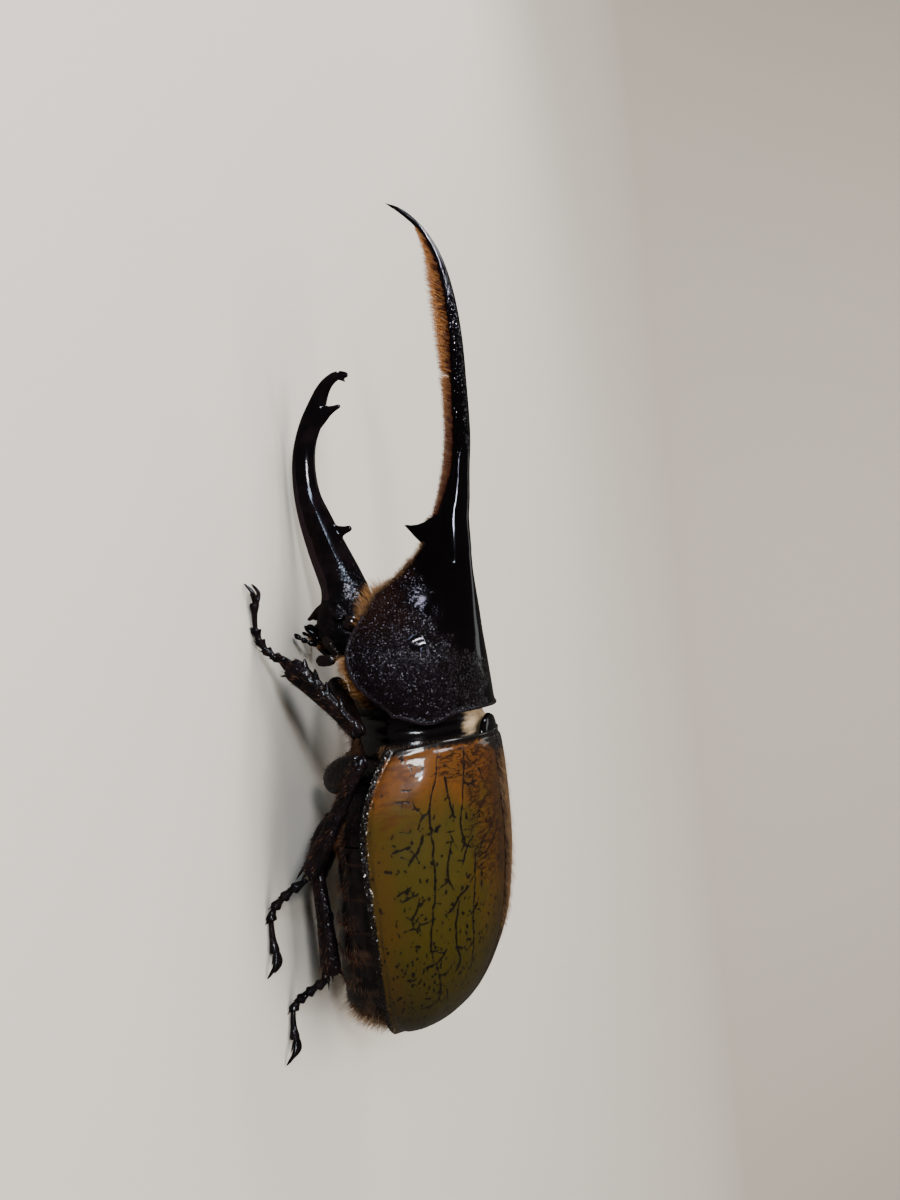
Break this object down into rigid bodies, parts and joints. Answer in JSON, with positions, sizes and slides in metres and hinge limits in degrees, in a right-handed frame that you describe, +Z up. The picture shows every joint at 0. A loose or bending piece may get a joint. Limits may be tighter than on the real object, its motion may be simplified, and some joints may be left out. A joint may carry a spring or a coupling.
{
  "type": "hercules beetle",
  "caption": "Still, life-size model of a male Ecuadorian Hercules beetle, standing, with a long brush-lined horn over an upcurved head horn and olive wing covers.",
  "frame": {"origin": "on the floor, under the middle of the beetle's whole length and width", "axes": "+Z up, -Y ahead of the beetle along its horns, +X to its left"},
  "size_m": [0.0456, 0.1417, 0.0353],
  "materials": {
    "polished_black": "polished black shell",
    "pitted_black": "black shell with fine pits",
    "olive_shell": "smooth olive shell with black marks",
    "eye_black": "glossy",
    "golden_hair": "short stiff hair"
  },
  "bodies": {
    "root": {"abdomen": "pitted_black", "antenna_left": "polished_black", "antenna_right": "polished_black", "cephalic_horn": "polished_black", "elytron_left": "olive_shell", "elytron_right": "olive_shell", "eye_left": "eye_black", "eye_right": "eye_black", "femur_front_left": "pitted_black", "femur_front_right": "pitted_black", "femur_hind_left": "pitted_black", "femur_hind_right": "pitted_black", "femur_middle_left": "pitted_black", "femur_middle_right": "pitted_black", "head": "pitted_black", "labium": "pitted_black", "mandible_left": "polished_black", "mandible_right": "polished_black", "mesothorax": "polished_black", "metathorax": "polished_black", "palp_left": "polished_black", "palp_right": "polished_black", "pronotum": "pitted_black", "scutellum": "polished_black", "tarsus_front_left": "polished_black", "tarsus_front_right": "polished_black", "tarsus_hind_left": "polished_black", "tarsus_hind_right": "polished_black", "tarsus_middle_left": "polished_black", "tarsus_middle_right": "polished_black", "thoracic_horn": "polished_black", "tibia_front_left": "pitted_black", "tibia_front_right": "pitted_black", "tibia_hind_left": "pitted_black", "tibia_hind_right": "pitted_black", "tibia_middle_left": "pitted_black", "tibia_middle_right": "pitted_black"}
  },
  "joints": []
}
